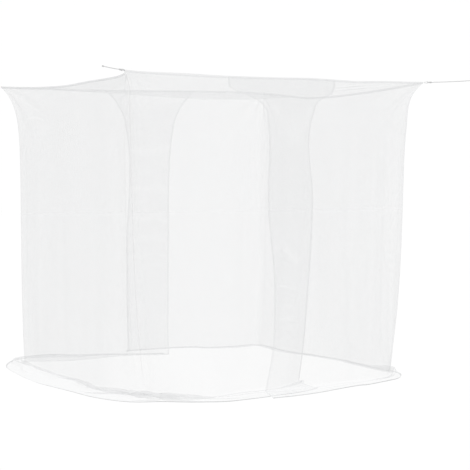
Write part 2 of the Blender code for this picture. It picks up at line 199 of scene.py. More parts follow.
# Soft folds that hang in the walls: (place, width, depth, down from which it starts)
HANGING_FOLDS = {
    "left": (
        (-0.36, 0.050, 0.006, 0.10),
        (-0.20, 0.060, -0.005, 0.20),
        (0.06, 0.070, 0.007, 0.30),
        (0.21, 0.045, -0.008, 0.25),
        (0.34, 0.060, 0.006, 0.35),
        (0.62, 0.050, -0.005, 0.20),
        (0.83, 0.040, 0.008, 0.10),
        (0.92, 0.020, -0.007, 0.05),
        (0.99, 0.016, 0.009, 0.04),
        (1.035, 0.016, -0.009, 0.05),
        (1.085, 0.020, 0.008, 0.08),
        (1.22, 0.060, -0.005, 0.20),
        (1.60, 0.080, 0.004, 0.50),
        (2.05, 0.070, -0.004, 0.60),
        (2.45, 0.060, 0.005, 0.30),
        (2.66, 0.035, -0.006, 0.12),
        (2.88, 0.035, 0.006, 0.12),
        (3.10, 0.060, -0.005, 0.30),
        (3.45, 0.070, 0.006, 0.40),
        (3.80, 0.050, -0.006, 0.25),
    ),
    "right": (
        (3.75, 0.050, 0.005, 0.20),
        (4.05, 0.080, -0.005, 0.30),
        (4.40, 0.060, 0.006, 0.40),
        (4.66, 0.035, -0.006, 0.12),
        (4.88, 0.035, 0.006, 0.12),
        (5.20, 0.070, -0.005, 0.30),
        (5.60, 0.080, 0.006, 0.50),
        (6.00, 0.060, -0.005, 0.40),
        (6.30, 0.040, 0.007, 0.25),
        (6.42, 0.025, -0.008, 0.15),
        (6.52, 0.022, 0.009, 0.12),
        (6.68, 0.030, -0.008, 0.12),
        (6.84, 0.050, 0.006, 0.25),
        (7.15, 0.070, -0.005, 0.40),
        (7.45, 0.050, 0.006, 0.30),
    ),
}
TIP_GATHERS, TIP_GATHER_DEPTH, TIP_GATHER_REACH = 10, 0.006, 0.11

# Ridges of the cloth that lies on the floor:
# (place from, place to, share of the way to the hem at each end, height, half width in metres, wander)
FLOOR_RIDGES = {
    "left": (
        (-0.52, -0.02, 0.10, 0.16, 0.034, 0.009, 0.04),
        (-0.45, 0.05, 0.26, 0.14, 0.020, 0.007, 0.05),
        (-0.10, 0.62, 0.10, 0.16, 0.010, 0.008, 0.04),
        (0.02, 0.58, 0.44, 0.30, 0.008, 0.007, 0.06),
        (0.30, 0.80, 0.72, 0.60, 0.010, 0.007, 0.06),
        (0.50, 0.98, 0.30, 0.52, 0.016, 0.005, 0.10),
        (0.56, 0.92, 0.62, 0.34, 0.018, 0.005, 0.08),
        (0.52, 1.25, 0.20, 0.35, 0.018, 0.006, 0.10),
        (0.60, 1.08, 0.42, 0.30, 0.022, 0.005, 0.12),
        (0.60, 1.00, 0.72, 0.88, 0.016, 0.005, 0.06),
        (0.60, 1.42, 0.50, 0.62, 0.022, 0.006, 0.14),
        (0.64, 1.06, 0.86, 0.58, 0.020, 0.005, 0.08),
        (0.68, 1.12, 0.64, 0.52, 0.022, 0.005, 0.12),
        (0.72, 1.20, 0.80, 0.45, 0.022, 0.005, 0.10),
        (0.80, 1.08, 0.16, 0.24, 0.028, 0.007, 0.04),
        (0.80, 1.60, 0.30, 0.12, 0.024, 0.008, 0.08),
        (1.05, 1.90, 0.40, 0.24, 0.018, 0.007, 0.10),
        (1.10, 1.46, 0.18, 0.14, 0.028, 0.007, 0.04),
        (1.18, 1.70, 0.26, 0.40, 0.016, 0.006, 0.08),
        (1.42, 1.62, 0.16, 0.20, 0.034, 0.008, 0.04),
        (1.58, 1.84, 0.14, 0.24, 0.034, 0.008, 0.05),
        (1.25, 2.30, 0.10, 0.12, 0.022, 0.009, 0.04),
        (1.70, 2.70, 0.34, 0.22, 0.016, 0.010, 0.06),
        (2.05, 2.95, 0.14, 0.20, 0.024, 0.009, 0.05),
        (2.20, 3.10, 0.60, 0.55, 0.022, 0.009, 0.10),
        (2.50, 2.95, 0.40, 0.78, 0.026, 0.008, 0.10),
        (2.60, 3.30, 0.28, 0.40, 0.028, 0.010, 0.08),
        (2.75, 3.25, 0.80, 0.70, 0.018, 0.008, 0.06),
        (2.85, 3.45, 0.12, 0.20, 0.026, 0.009, 0.05),
        (3.00, 3.70, 0.45, 0.50, 0.018, 0.010, 0.10),
    ),
    "right": (
        (3.80, 4.80, 0.40, 0.60, 0.008, 0.008, 0.10),
        (4.70, 5.90, 0.45, 0.55, 0.012, 0.008, 0.12),
        (5.70, 6.60, 0.50, 0.40, 0.016, 0.008, 0.12),
        (6.20, 6.75, 0.35, 0.60, 0.032, 0.010, 0.10),
        (6.34, 6.72, 0.20, 0.30, 0.034, 0.008, 0.06),
        (6.45, 6.90, 0.70, 0.50, 0.022, 0.009, 0.08),
        (6.75, 7.50, 0.55, 0.62, 0.006, 0.010, 0.08),
        (7.05, 7.60, 0.25, 0.30, 0.005, 0.012, 0.05),
    ),
}

RIDGE_CAP = 0.045  # height that ridges which cross come near to and never pass

# The loops and cords of the corners, as they lie in the frame
LOOP_LONG, LOOP_HIGH, LOOP_WIDE, LOOP_OUT, TAPE = 0.030, 0.013, 0.008, 0.0060, 0.0015
LOOP_WEAVE = 0.2  # turns of the weave's pattern from one line of the loop's section to the next
EYE_RADIUS, KNOT_OUT, KNOT_LONG, END_KNOT_LONG, GAP = 0.008, 0.014, 0.015, 0.013, 0.0004
KNOT_SQUEEZE = 0.78  # how thin the cord is drawn in a knot
HOLE_END = LOOP_LONG - TAPE / 2
CORD_START = HOLE_END + KNOT_OUT + KNOT_LONG / 2 + GAP
CORDS = {
    # corner: (direction x, direction y, rise per metre, length, sag)
    "front_left": (-0.877, -0.479, 0.050, 0.150, 0.0010),
    "back_left": (-0.707, 0.707, 0.035, 0.160, 0.0012),
    "back_right": (0.707, 0.707, 0.035, 0.200, 0.0015),
    "front_right": (0.707, -0.707, 0.035, 0.300, 0.0025),
}

# The roof and its binding
ROOF_CUT, ROOF_INSET = (2.0, 1.8), 0.0030
ROOF_GATHERS, ROOF_GATHER_DEPTH, ROOF_GATHER_REACH, ROOF_SLACK = 12, 0.007, 0.176, 0.004
BINDING_OUT, BINDING_LOW, BINDING_ABOVE = 0.0029, 0.010, 0.004
BINDING_CUT, BINDING_TAKEN_UP = 0.030, 0.3  # width of its tape, and length that the tips take up
STAND_PLACE, STAND_WIDE, STAND_HIGH = 0.62, 0.20, 0.004  # where the fold stands up above the edge

# The stage
FLOOR_HALF, SKY_STRENGTH, KEY_STRENGTH = 30.0, 1.006, 0.85
KEY_SPREAD, KEY_FROM = 50, (0.22, -0.22, 1.0)  # degrees, direction
CAMERA_AT, CAMERA_WAY = (-4.416, -7.970, -0.5655), (0.5056, 0.8628)
CAMERA_PITCH, CAMERA_ROLL, LENS = -2.87, 0.27, 100.76  # degrees, degrees, millimetres


class NetSizes(bpy.types.PropertyGroup):
    """The sizes that give the net its make."""

    mesh_pitch: FloatProperty(
        name="Mesh pitch", description="Distance from hole to hole of the net", default=0.002, unit="LENGTH"
    )
    thread: FloatProperty(
        name="Thread", description="Thickness of the net's thread", default=0.00023, unit="LENGTH"
    )
    hem: FloatProperty(name="Hem", description="Width of the turned hems", default=0.014, unit="LENGTH")
    hem_rise: FloatProperty(
        name="Hem rise", description="How far the hem curls up from the floor", default=0.006, unit="LENGTH"
    )
    fold: FloatProperty(
        name="Fold", description="Distance between a turned hem's layers", default=0.0008, unit="LENGTH"
    )
    step: FloatProperty(
        name="Step", description="Largest distance between a cloth's points", default=0.016, unit="LENGTH"
    )
    roof_sag: FloatProperty(
        name="Roof sag", description="How far the roof's middle hangs down", default=0.045, unit="LENGTH"
    )
    cord: FloatProperty(name="Cord", description="Diameter of the cords", default=0.005, unit="LENGTH")
    cord_sides: IntProperty(name="Cord sides", description="Sides of a cord's section", default=16)


class NetColours(bpy.types.PropertyGroup):
    """The colours of the net's cloth, tape and cord."""

    net: FloatVectorProperty(
        name="Net", description="Colour of the net's thread", default=(0.70, 0.705, 0.71), subtype="COLOR"
    )
    tape: FloatVectorProperty(
        name="Tape", description="Colour of binding and loops", default=(0.70, 0.705, 0.71), subtype="COLOR"
    )
    cord: FloatVectorProperty(
        name="Cord", description="Colour of the hanging cords", default=(0.54, 0.54, 0.545), subtype="COLOR"
    )
    floor: FloatVectorProperty(
        name="Floor", description="Colour of the plain floor", default=(0.797, 0.797, 0.797), subtype="COLOR"
    )


def ease(share):
    """0 to 1 with level ends."""
    share = np.clip(share, 0.0, 1.0)
    return share * share * (3 - 2 * share)


def smooth(xs, ys, x):
    """A smooth curve through the points (xs, ys), read at x."""
    xs, ys = np.asarray(xs, float), np.asarray(ys, float)
    x = np.clip(x, xs[0], xs[-1])
    i = np.clip(np.searchsorted(xs, x, "right") - 1, 0, len(xs) - 2)
    slopes = np.gradient(ys, xs)
    long = xs[i + 1] - xs[i]
    t = (x - xs[i]) / long
    ends = ys[i] * (1 + 2 * t) * (1 - t) ** 2 + ys[i + 1] * t * t * (3 - 2 * t)
    return ends + long * t * (1 - t) * (slopes[i] * (1 - t) - slopes[i + 1] * t)


class Round:
    """The net's outline from above, measured round its sides."""

    def __init__(self):
        corners = [np.array(c[:2]) for c in CORNERS.values()]
        middle = np.array((0.0, (corners[0][1] + corners[3][1]) / 2))
        self.points = np.array([middle, *corners, middle])
        sides = np.diff(self.points, axis=0)
        longs = np.linalg.norm(sides, axis=1)
        self.ways = sides / longs[:, None]
        self.starts = np.concatenate([[0.0], np.cumsum(longs)])
        self.corners = self.starts[1:5]
        self.length = self.starts[5]

    def place(self, wall, along, late=False):
        """The place of a point on a wall. The front comes both first and last: late means last."""
        if wall == "front":
            return self.length - along if late else -along
        side = ("left", "back", "right").index(wall) + 1
        axis = 0 if wall == "back" else 1
        return self.starts[side] + (along - self.points[side][axis]) / self.ways[side][axis]

    def nearest_corner(self, place):
        """(which corner is nearest, how far past it the place is)"""
        half = self.length / 2
        past = (np.asarray(place)[..., None] - self.corners + half) % self.length - half
        which = np.argmin(np.abs(past), axis=-1)
        return which, np.take_along_axis(past, which[..., None], -1)[..., 0]

    def at(self, place, rounding):
        """(point, outward direction) at a place, with the corners rounded."""
        which, past = self.nearest_corner(place)
        rounded = np.abs(past) < rounding
        back = np.where(rounded, (rounding - past) ** 2 / (4 * rounding), np.maximum(-past, 0))
        ahead = np.where(rounded, (rounding + past) ** 2 / (4 * rounding), np.maximum(past, 0))
        turned = np.clip((past + rounding) / (2 * rounding), 0, 1)[..., None]
        along = self.ways[which] * (1 - turned) + self.ways[which + 1] * turned
        along /= np.linalg.norm(along, axis=-1, keepdims=True)
        point = self.points[which + 1] - self.ways[which] * back[..., None]
        return point + self.ways[which + 1] * ahead[..., None], np.stack([-along[..., 1], along[..., 0]], -1)

    def lapped(self, place):
        """How far a place is in a lap, from 0 to 1."""
        place = np.asarray(place) % self.length
        early, late = place < self.corners[0], place > self.corners[3]
        back = (place > self.corners[1]) & (place < self.corners[2])
        x = np.where(early, -place, np.where(late, self.length - place, 0))
        x = np.where(back, self.points[2][0] + place - self.corners[1], x)
        low = np.where(back, LAPS["back"][0], LAPS["front"][0])
        high = np.where(back, LAPS["back"][1], LAPS["front"][1])
        inside = ease((x - low) / LAP_EASE + 1) * ease((high - x) / LAP_EASE + 1)
        return np.where(early | late | back, inside, 0.0)


NET = Round()
EAVE_ROWS = sorted((NET.place(wall, along, along > 0), height) for wall, along, height in EAVES)
EAVE_PLACES = [place + turn * NET.length for turn in (-1, 0, 1) for place, _ in EAVE_ROWS]
EAVE_HEIGHTS = [height for _, height in EAVE_ROWS] * 3
TIP_PULLS = np.array(
    [
        (tip_x - x, tip_y - y, tip_z - smooth(EAVE_PLACES, EAVE_HEIGHTS, corner))
        for (x, y, tip_x, tip_y, tip_z), corner in zip(CORNERS.values(), NET.corners)
    ]
)


def eave(place):
    """Height of the roof's edge at a place."""
    return smooth(EAVE_PLACES, EAVE_HEIGHTS, np.asarray(place) % NET.length)


def pull_share(past, down):
    """How much of a tip's pull reaches a point of the cloth."""
    blunt = (TIP_BLUNT / PULL_REACH) ** PULL_POWER
    away = np.sqrt(past**2 + down**2 + TIP_BLUNT**2) / PULL_REACH
    return np.exp(blunt - away**PULL_POWER)


def on_net(place, down, out, height):
    """Points of the net at places round it, a distance down from its top edge and out from its outline."""
    given = (np.asarray(values, float) for values in (place, down, out, height))
    place, down, out, height = np.broadcast_arrays(*given)
    which, past = NET.nearest_corner(place)
    walls = TOP_ROUNDING + (WALL_ROUNDING - TOP_ROUNDING) * ease(down / ROUNDING_GROWS)
    low = np.clip(down / -FLOOR, 0, 1) ** FOOT_POWER
    rounding = walls + (np.array(FLOOR_ROUNDING)[which] - WALL_ROUNDING) * low
    point, outward = NET.at(place, rounding)
    points = np.concatenate([point + outward * out[..., None], height[..., None]], -1)
    return points + TIP_PULLS[which] * pull_share(past, down)[..., None]


def lap_out(place, down):
    """How far the outer cloth stands outside the inner one's line."""
    return NET.lapped(place) * (LAP_TOP + (LAP_LOW - LAP_TOP) * ease(down / LAP_OPENS))


class WallCloth:
    """One of the two cloths that make the walls."""

    def __init__(self, key, table, start_edge, end_edge, late, outer):
        self.places = [NET.place(row[0], row[1], late) for row in table]
        self.middles, self.feet, self.hems, self.heaps = zip(*(row[2:] for row in table))
        self.edges = []
        for wall, edge in ((table[0][0], start_edge), (table[-1][0], end_edge)):
            downs = [down for down, _ in edge]
            self.edges.append((downs, [NET.place(wall, along, late) for _, along in edge]))
        self.start, self.end = (places[0] for _, places in self.edges)
        self.outer, self.folds, self.ridges = outer, HANGING_FOLDS[key], FLOOR_RIDGES[key]

    def drifted(self, top, down):
        """Where a place of the top edge is, a distance down the cloth."""
        place = top
        for downs, places in self.edges:
            follows = 1 - ease(np.abs(top - places[0]) / EDGE_REACH)
            place = place + follows * (smooth(downs, places, down) - places[0])
        return place

    def surface(self, top, down):
        """Points of the cloth, by their places at the top and their distances down."""
        top, down = np.broadcast_arrays(top, down)
        place = self.drifted(top, down)
        middle, foot, hem, heap = (
            smooth(self.places, column, place) for column in (self.middles, self.feet, self.hems, self.heaps)
        )
        floor = FLOOR + LIE + (LAP_LIFT * NET.lapped(place) if self.outer else 0.0)
        straight = -FLOOR - BEND - LIE
        share = np.clip(down / straight, 0, 1)
        out = middle * ease(share / MIDDLE_REACHED) + (foot - middle) * share**FOOT_POWER
        out = out + self.hanging_folds(top, down) * (1 - ease((share - 0.9) / 0.1))
        height = eave(place) * (1 - share) + (floor + BEND) * share
        angle = np.clip((down - straight) / BEND, 0, math.pi / 2)
        out = out + BEND * (1 - np.cos(angle))
        height = height - BEND * np.sin(angle)
        laid = straight + BEND * math.pi / 2
        share = np.clip((down - laid) / (CUT - laid), 0, 1)
        start = foot + BEND
        reach = np.maximum(hem - start, BEND)
        out = out + reach * share
        steps = np.linspace(0, 1, len(HEAP_SHAPE))
        height = height + np.maximum(heap, 0) * np.maximum(smooth(steps, HEAP_SHAPE, share), 0)
        fade = ease(share / 0.06) * ease((1 - share) / 0.08)
        height = height + self.floor_ridges(place, share, reach) * fade
        if self.outer:
            out = out + lap_out(place, down)
        return on_net(place, down, out, height)

    def hanging_folds(self, top, down):
        """How far the folds that hang in the walls stand out."""
        out = np.zeros(top.shape)
        for place, width, depth, starts in self.folds:
            wander = 0.02 * np.sin(1.9 * down + 7 * place)
            profile = np.exp(-(((top - place - wander) / width) ** 2))
            out = out + depth * profile * ease((down - starts) / 0.5)
        _, past = NET.nearest_corner(top)
        away = np.hypot(past, down) / TIP_GATHER_REACH
        turned = np.arctan2(down, np.abs(past) + 1e-9)
        gathers = np.sin(TIP_GATHERS * turned) * away * np.exp(1 - away)
        return out + TIP_GATHER_DEPTH * gathers * ease(down / 0.02)

    def floor_ridges(self, place, share, reach):
        """How high the ridges stand in the cloth that lies on the floor."""
        height = np.zeros(place.shape)
        for start, end, near, far, tall, half, wander in self.ridges:
            along = np.clip((place - start) / (end - start), 0, 1)
            line = near + (far - near) * along + wander * np.sin(13 * place + 5 * near)
            away = (share - line) * reach / half
            height = height + tall * np.exp(-(away**2)) * np.sin(math.pi * along) ** 0.7
        return RIDGE_CAP * (1 - np.exp(-height / RIDGE_CAP))


WALL_CLOTHS = {
    "wall_cloth_left": WallCloth("left", LEFT_CLOTH, LEFT_FRONT_EDGE, LEFT_BACK_EDGE, False, False),
    "wall_cloth_right": WallCloth("right", RIGHT_CLOTH, RIGHT_BACK_EDGE, RIGHT_FRONT_EDGE, True, True),
}

# ---------------------------------------------------------------- meshes


def steps_between(low, high, step):
    """Even steps from low to high, no longer than step."""
    return np.linspace(low, high, max(int(math.ceil((high - low) / step)), 1) + 1)


def linked(name, data):
    """A new object in the scene."""
    thing = bpy.data.objects.new(name, data)
    bpy.context.scene.collection.objects.link(thing)
    return thing


def placed(points, frame):
    """Points that are given in a corner's own axes, in the net's."""
    return points @ np.array(frame.to_3x3()).T + np.array(frame.translation)


def grid_object(name, points, across, along, materials, slots=None, closed=False):
    """An open sheet through rows of points, with its UVs in metres and a material for each of its faces."""
    rows, columns = points.shape[:2]
    index = np.arange(rows * columns).reshape(rows, columns)
    if closed:
        index = np.concatenate([index, index[:, :1]], 1)
        across = np.concatenate([across, across[:, -1:] + across[:, 1:2] - across[:, :1]], 1)
        along = np.concatenate([along, along[:, :1]], 1)
    quads = np.stack([index[:-1, :-1], index[1:, :-1], index[1:, 1:], index[:-1, 1:]], -1).reshape(-1, 4)
    mesh = bpy.data.meshes.new(name)
    mesh.from_pydata(points.reshape(-1, 3).tolist(), [], quads.tolist())
    uv = np.stack([across, along], -1)
    corners = np.stack([uv[:-1, :-1], uv[1:, :-1], uv[1:, 1:], uv[:-1, 1:]], 2)
    mesh.uv_layers.new(name="cut").data.foreach_set("uv", corners.reshape(-1).astype(np.float32))
    for material in materials:
        mesh.materials.append(material)
    if slots is not None:
        mesh.polygons.foreach_set("material_index", slots.reshape(-1).astype(np.int32))
    mesh.shade_smooth()
    mesh.update()
    return linked(name, mesh)


def as_net(thing):
    """Lets the light through a sheer piece, so that it neither shades nor darkens what is round it."""
    thing.visible_shadow = False
    thing.visible_diffuse = False


def stand_for(thing, node):
    """The piece moves with the net and stands for a node of the frame."""
    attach(thing, "root")
    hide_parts(node)


def tube(points, radius, sides):
    """(vertices, faces, uvs) of a round tube along points, closed at both ends."""
    points = np.asarray(points, float)
    ways = np.gradient(points, axis=0)
    ways /= np.linalg.norm(ways, axis=1, keepdims=True)
    up = np.array((0.0, 0.0, 1.0)) if abs(ways[0][2]) < 0.9 else np.array((1.0, 0.0, 0.0))
    rings = []
    for point, way in zip(points, ways):
        up = up - way * (up @ way)
        up /= np.linalg.norm(up)
        side = np.cross(way, up)
        angles = np.linspace(0, 2 * math.pi, sides, endpoint=False)[:, None]
        rings.append(point + radius * (np.cos(angles) * up + np.sin(angles) * side))
    count = len(rings)
    faces, uvs = [], []
    longs = np.concatenate([[0.0], np.cumsum(np.linalg.norm(np.diff(points, axis=0), axis=1))])
    for i in range(count - 1):
        for j in range(sides):
            k = (j + 1) % sides
            faces.append((i * sides + j, i * sides + k, (i + 1) * sides + k, (i + 1) * sides + j))
            a, b = j / sides, (j + 1) / sides
            uvs.extend([(longs[i], a), (longs[i], b), (longs[i + 1], b), (longs[i + 1], a)])
    faces.append(tuple(reversed(range(sides))))
    uvs.extend([(longs[0], 0.5)] * sides)
    faces.append(tuple((count - 1) * sides + j for j in range(sides)))
    uvs.extend([(longs[-1], 0.5)] * sides)
    return np.concatenate(rings), faces, uvs


def tubes_object(name, tubes, material):
    """One object of several tubes."""
    vertices, faces, uvs, start = [], [], [], 0
    for tube_vertices, tube_faces, tube_uvs in tubes:
        vertices.extend(tube_vertices.tolist())
        faces.extend(tuple(start + i for i in face) for face in tube_faces)
        uvs.extend(tube_uvs)
        start += len(tube_vertices)
    mesh = bpy.data.meshes.new(name)
    mesh.from_pydata(vertices, [], faces)
    mesh.uv_layers.new(name="lay").data.foreach_set("uv", np.array(uvs, np.float32).reshape(-1))
    mesh.materials.append(material)
    mesh.shade_smooth()
    mesh.update()
    return linked(name, mesh)


# ---------------------------------------------------------------- materials


def add_node(tree, kind, at, **values):
    """A node of a tree at a place in its editor, with some of its properties and inputs set."""
    node = tree.nodes.new(kind)
    node.location = at
    for key, value in values.items():
        if hasattr(node, key):
            setattr(node, key, value)
        else:
            node.inputs[key.replace("_", " ")].default_value = value
    return node


def new_group(name, inputs, outputs):
    """A shader node group with named sockets: (its tree, its input node, its output node)."""
    tree = bpy.data.node_groups.new(name, "ShaderNodeTree")
    for socket, kind, value in inputs:
        made = tree.interface.new_socket(name=socket, in_out="INPUT", socket_type=kind)
        if value is not None:
            made.default_value = value
    for socket, kind in outputs:
        tree.interface.new_socket(name=socket, in_out="OUTPUT", socket_type=kind)
    return tree, add_node(tree, "NodeGroupInput", (-900, 0)), add_node(tree, "NodeGroupOutput", (700, 0))


def math_node(tree, operation, at, first, second):
    """A Math node fed by sockets or numbers."""
    node = add_node(tree, "ShaderNodeMath", at, operation=operation)
    for socket, value in zip(node.inputs, (first, second)):
        if isinstance(value, (int, float)):
            socket.default_value = value
        else:
            tree.links.new(value, socket)
    return node.outputs[0]


def net_mesh_group():
    """The knitted mesh: rows of holes, each row half a hole on from the last, in slightly uneven thread."""
    found = bpy.data.node_groups.get("net_mesh")
    if found:
        return found
    floats = (("Pitch", 0.002), ("Thread", 0.00018), ("Unevenness", 0.0003))
    tree, given, made = new_group(
        "net_mesh",
        [("Cloth", "NodeSocketVector", None), *((name, "NodeSocketFloat", value) for name, value in floats)],
        [("Threads", "NodeSocketFloat"), ("Cloudiness", "NodeSocketFloat")],
    )
    drift = add_node(tree, "ShaderNodeTexNoise", (-700, -250), Scale=40.0, Detail=2.0)
    tree.links.new(given.outputs["Cloth"], drift.inputs["Vector"])
    centred = add_node(tree, "ShaderNodeVectorMath", (-500, -250), operation="SUBTRACT")
    tree.links.new(drift.outputs["Color"], centred.inputs[0])
    centred.inputs[1].default_value = (0.5, 0.5, 0.5)
    moved = add_node(tree, "ShaderNodeVectorMath", (-300, -250), operation="SCALE")
    tree.links.new(centred.outputs[0], moved.inputs[0])
    tree.links.new(given.outputs["Unevenness"], moved.inputs["Scale"])
    laid = add_node(tree, "ShaderNodeVectorMath", (-100, -100), operation="ADD")
    tree.links.new(given.outputs["Cloth"], laid.inputs[0])
    tree.links.new(moved.outputs[0], laid.inputs[1])
    bricks = add_node(
        tree, "ShaderNodeTexBrick", (150, 0), offset=0.5, squash=1.0, Scale=1.0, Mortar_Smooth=0.15, Bias=0.0
    )
    tree.links.new(laid.outputs[0], bricks.inputs["Vector"])
    tree.links.new(given.outputs["Pitch"], bricks.inputs["Brick Width"])
    row = math_node(tree, "MULTIPLY", (-100, 150), given.outputs["Pitch"], 0.86)
    tree.links.new(row, bricks.inputs["Row Height"])
    half = math_node(tree, "MULTIPLY", (-100, 300), given.outputs["Thread"], 0.5)
    tree.links.new(half, bricks.inputs["Mortar Size"])
    tree.links.new(bricks.outputs["Fac"], made.inputs["Threads"])
    clouds = add_node(tree, "ShaderNodeTexNoise", (150, -350), Scale=3.0, Detail=3.0, Roughness=0.55)
    tree.links.new(given.outputs["Cloth"], clouds.inputs["Vector"])
    tree.links.new(clouds.outputs["Fac"], made.inputs["Cloudiness"])
    return tree


def braid_group():
    """The braid of a cord or the weave of a tape: two sets of strands that cross, as a height and a shade."""
    found = bpy.data.node_groups.get("braid")
    if found:
        return found
    tree, given, made = new_group(
        "braid",
        [
            ("Lay", "NodeSocketVector", None),
            ("Along", "NodeSocketFloat", 900.0),
            ("Around", "NodeSocketFloat", 8.0),
        ],
        [("Height", "NodeSocketFloat"), ("Shade", "NodeSocketFloat")],
    )
    parts = add_node(tree, "ShaderNodeSeparateXYZ", (-700, 0))
    tree.links.new(given.outputs["Lay"], parts.inputs[0])
    along = math_node(tree, "MULTIPLY", (-500, 100), parts.outputs["X"], given.outputs["Along"])
    around = math_node(tree, "MULTIPLY", (-500, -100), parts.outputs["Y"], given.outputs["Around"])
    strands = []
    for at, operation in ((150, "ADD"), (-150, "SUBTRACT")):
        phase = math_node(tree, operation, (-300, at), along, around)
        turned = math_node(tree, "MULTIPLY", (-120, at), phase, 2 * math.pi)
        strands.append(math_node(tree, "SINE", (40, at), turned, 0.0))
    crossed = math_node(tree, "MULTIPLY", (200, 0), *strands)
    tree.links.new(math_node(tree, "MULTIPLY_ADD", (380, 80), crossed, 0.5), made.inputs["Height"])
    tree.links.new(math_node(tree, "MULTIPLY_ADD", (380, -120), crossed, 0.12), made.inputs["Shade"])
    return tree


def shader_material(name, colour, roughness, sheen=0.0):
    """A material with its Principled shader's own values set: (material, its tree, the shader)."""
    material = bpy.data.materials.new(name)
    material.use_nodes = True
    shader = material.node_tree.nodes["Principled BSDF"]
    shader.inputs["Base Color"].default_value = (*colour, 1.0)
    shader.inputs["Roughness"].default_value = roughness
    shader.inputs["Specular IOR Level"].default_value = 0.2
    shader.inputs["Sheen Weight"].default_value = sheen
    return material, material.node_tree, shader


def sheer_material(name, colour, layers, haze):
    """Net cloth: thread with holes between, denser where it is turned over, and milky when seen edge on."""
    sizes = bpy.context.scene.net_sizes
    material, tree, shader = shader_material(name, colour, 0.65)
    cloth = add_node(tree, "ShaderNodeUVMap", (-1100, 0), uv_map="cut")
    group = add_node(tree, "ShaderNodeGroup", (-850, 0))
    group.node_tree = net_mesh_group()
    group.inputs["Pitch"].default_value = sizes.mesh_pitch / math.sqrt(layers)
    group.inputs["Thread"].default_value = sizes.thread * (1 + 0.35 * (layers - 1))
    tree.links.new(cloth.outputs[0], group.inputs["Cloth"])
    facing = add_node(tree, "ShaderNodeLayerWeight", (-850, -300), Blend=0.5)
    steep = math_node(tree, "POWER", (-650, -300), facing.outputs["Facing"], 1.6)
    filled = math_node(tree, "MULTIPLY", (-450, -300), steep, haze)
    uneven = math_node(tree, "MULTIPLY_ADD", (-450, -120), group.outputs["Cloudiness"], 0.10)
    uneven.node.inputs[2].default_value = 0.95
    open_share = math_node(tree, "SUBTRACT", (-250, -200), 1.0, filled)
    threads = math_node(tree, "MULTIPLY", (-400, 60), group.outputs["Threads"], uneven)
    between = math_node(tree, "SUBTRACT", (-250, 60), 1.0, threads)
    holes = math_node(tree, "MULTIPLY", (-100, -100), between, open_share)
    tree.links.new(math_node(tree, "SUBTRACT", (50, -100), 1.0, holes), shader.inputs["Alpha"])
    tint = add_node(tree, "ShaderNodeMix", (-250, 300), data_type="RGBA")
    tint.inputs["A"].default_value = (*(c * 0.97 for c in colour), 1.0)
    tint.inputs["B"].default_value = (*(min(c * 1.03, 1.0) for c in colour), 1.0)
    tree.links.new(group.outputs["Cloudiness"], tint.inputs["Factor"])
    tree.links.new(tint.outputs["Result"], shader.inputs["Base Color"])
    return material


def strand_material(name, colour, along, around, depth):
    """Braided cord or woven tape, with its strands as relief and a little shade between them."""
    material, tree, shader = shader_material(name, colour, 0.6, 0.15)
    lay = add_node(tree, "ShaderNodeUVMap", (-900, 0), uv_map="lay")
    group = add_node(tree, "ShaderNodeGroup", (-700, 0))
    group.node_tree = braid_group()
    group.inputs["Along"].default_value = along
    group.inputs["Around"].default_value = around
    tree.links.new(lay.outputs[0], group.inputs["Lay"])
    bump = add_node(tree, "ShaderNodeBump", (-250, -250), Strength=0.8, Distance=depth)
    tree.links.new(group.outputs["Height"], bump.inputs["Height"])
    tree.links.new(bump.outputs["Normal"], shader.inputs["Normal"])
    tint = add_node(tree, "ShaderNodeMix", (-250, 100), data_type="RGBA")
    tint.inputs["A"].default_value = (*(c * 0.72 for c in colour), 1.0)
    tint.inputs["B"].default_value = (*(min(c * 1.12, 1.0) for c in colour), 1.0)
    shade = math_node(tree, "ADD", (-450, 100), group.outputs["Shade"], 0.65)
    tree.links.new(shade, tint.inputs["Factor"])
    tree.links.new(tint.outputs["Result"], shader.inputs["Base Color"])
    return material


FINISHES = {
    # name: (how it is made, its colour, how much of it, ...)
    # sheer cloth goes on with its layers and haze, strands with how many along, around and their relief
    "sheer_net": (sheer_material, "net", 1.0, 1.0, 0.34),
    # the roof's net has less haze than the walls', so it looks lighter edge on: painted light from above
    # shining through its threads
    "roof_net": (sheer_material, "net", 1.0, 1.0, 0.10),
    "turned_side": (sheer_material, "net", 1.0, 1.7, 0.45),
    # the turned hem's thread is darkened to 0.85 of the net's colour: painted shade in its folds, where the
    # net casts no shadow
    "turned_hem": (sheer_material, "net", 0.85, 2.8, 0.50),
    "folded_binding": (sheer_material, "tape", 1.0, 1.4, 0.40),
    "woven_tape": (strand_material, "tape", 0.72, 700.0, 9.0, 0.0003),
    "braided_cord": (strand_material, "cord", 1.0, 260.0, 6.0, 0.0006),
}


def net_material(name):
    """One of the net's finishes, made once."""
    found = bpy.data.materials.get(name)
    if found:
        return found
    make, part, share, *values = FINISHES[name]
    colour = tuple(c * share for c in getattr(bpy.context.scene.net_colours, part))
    return make(name, colour, *values)


# ---------------------------------------------------------------- operators


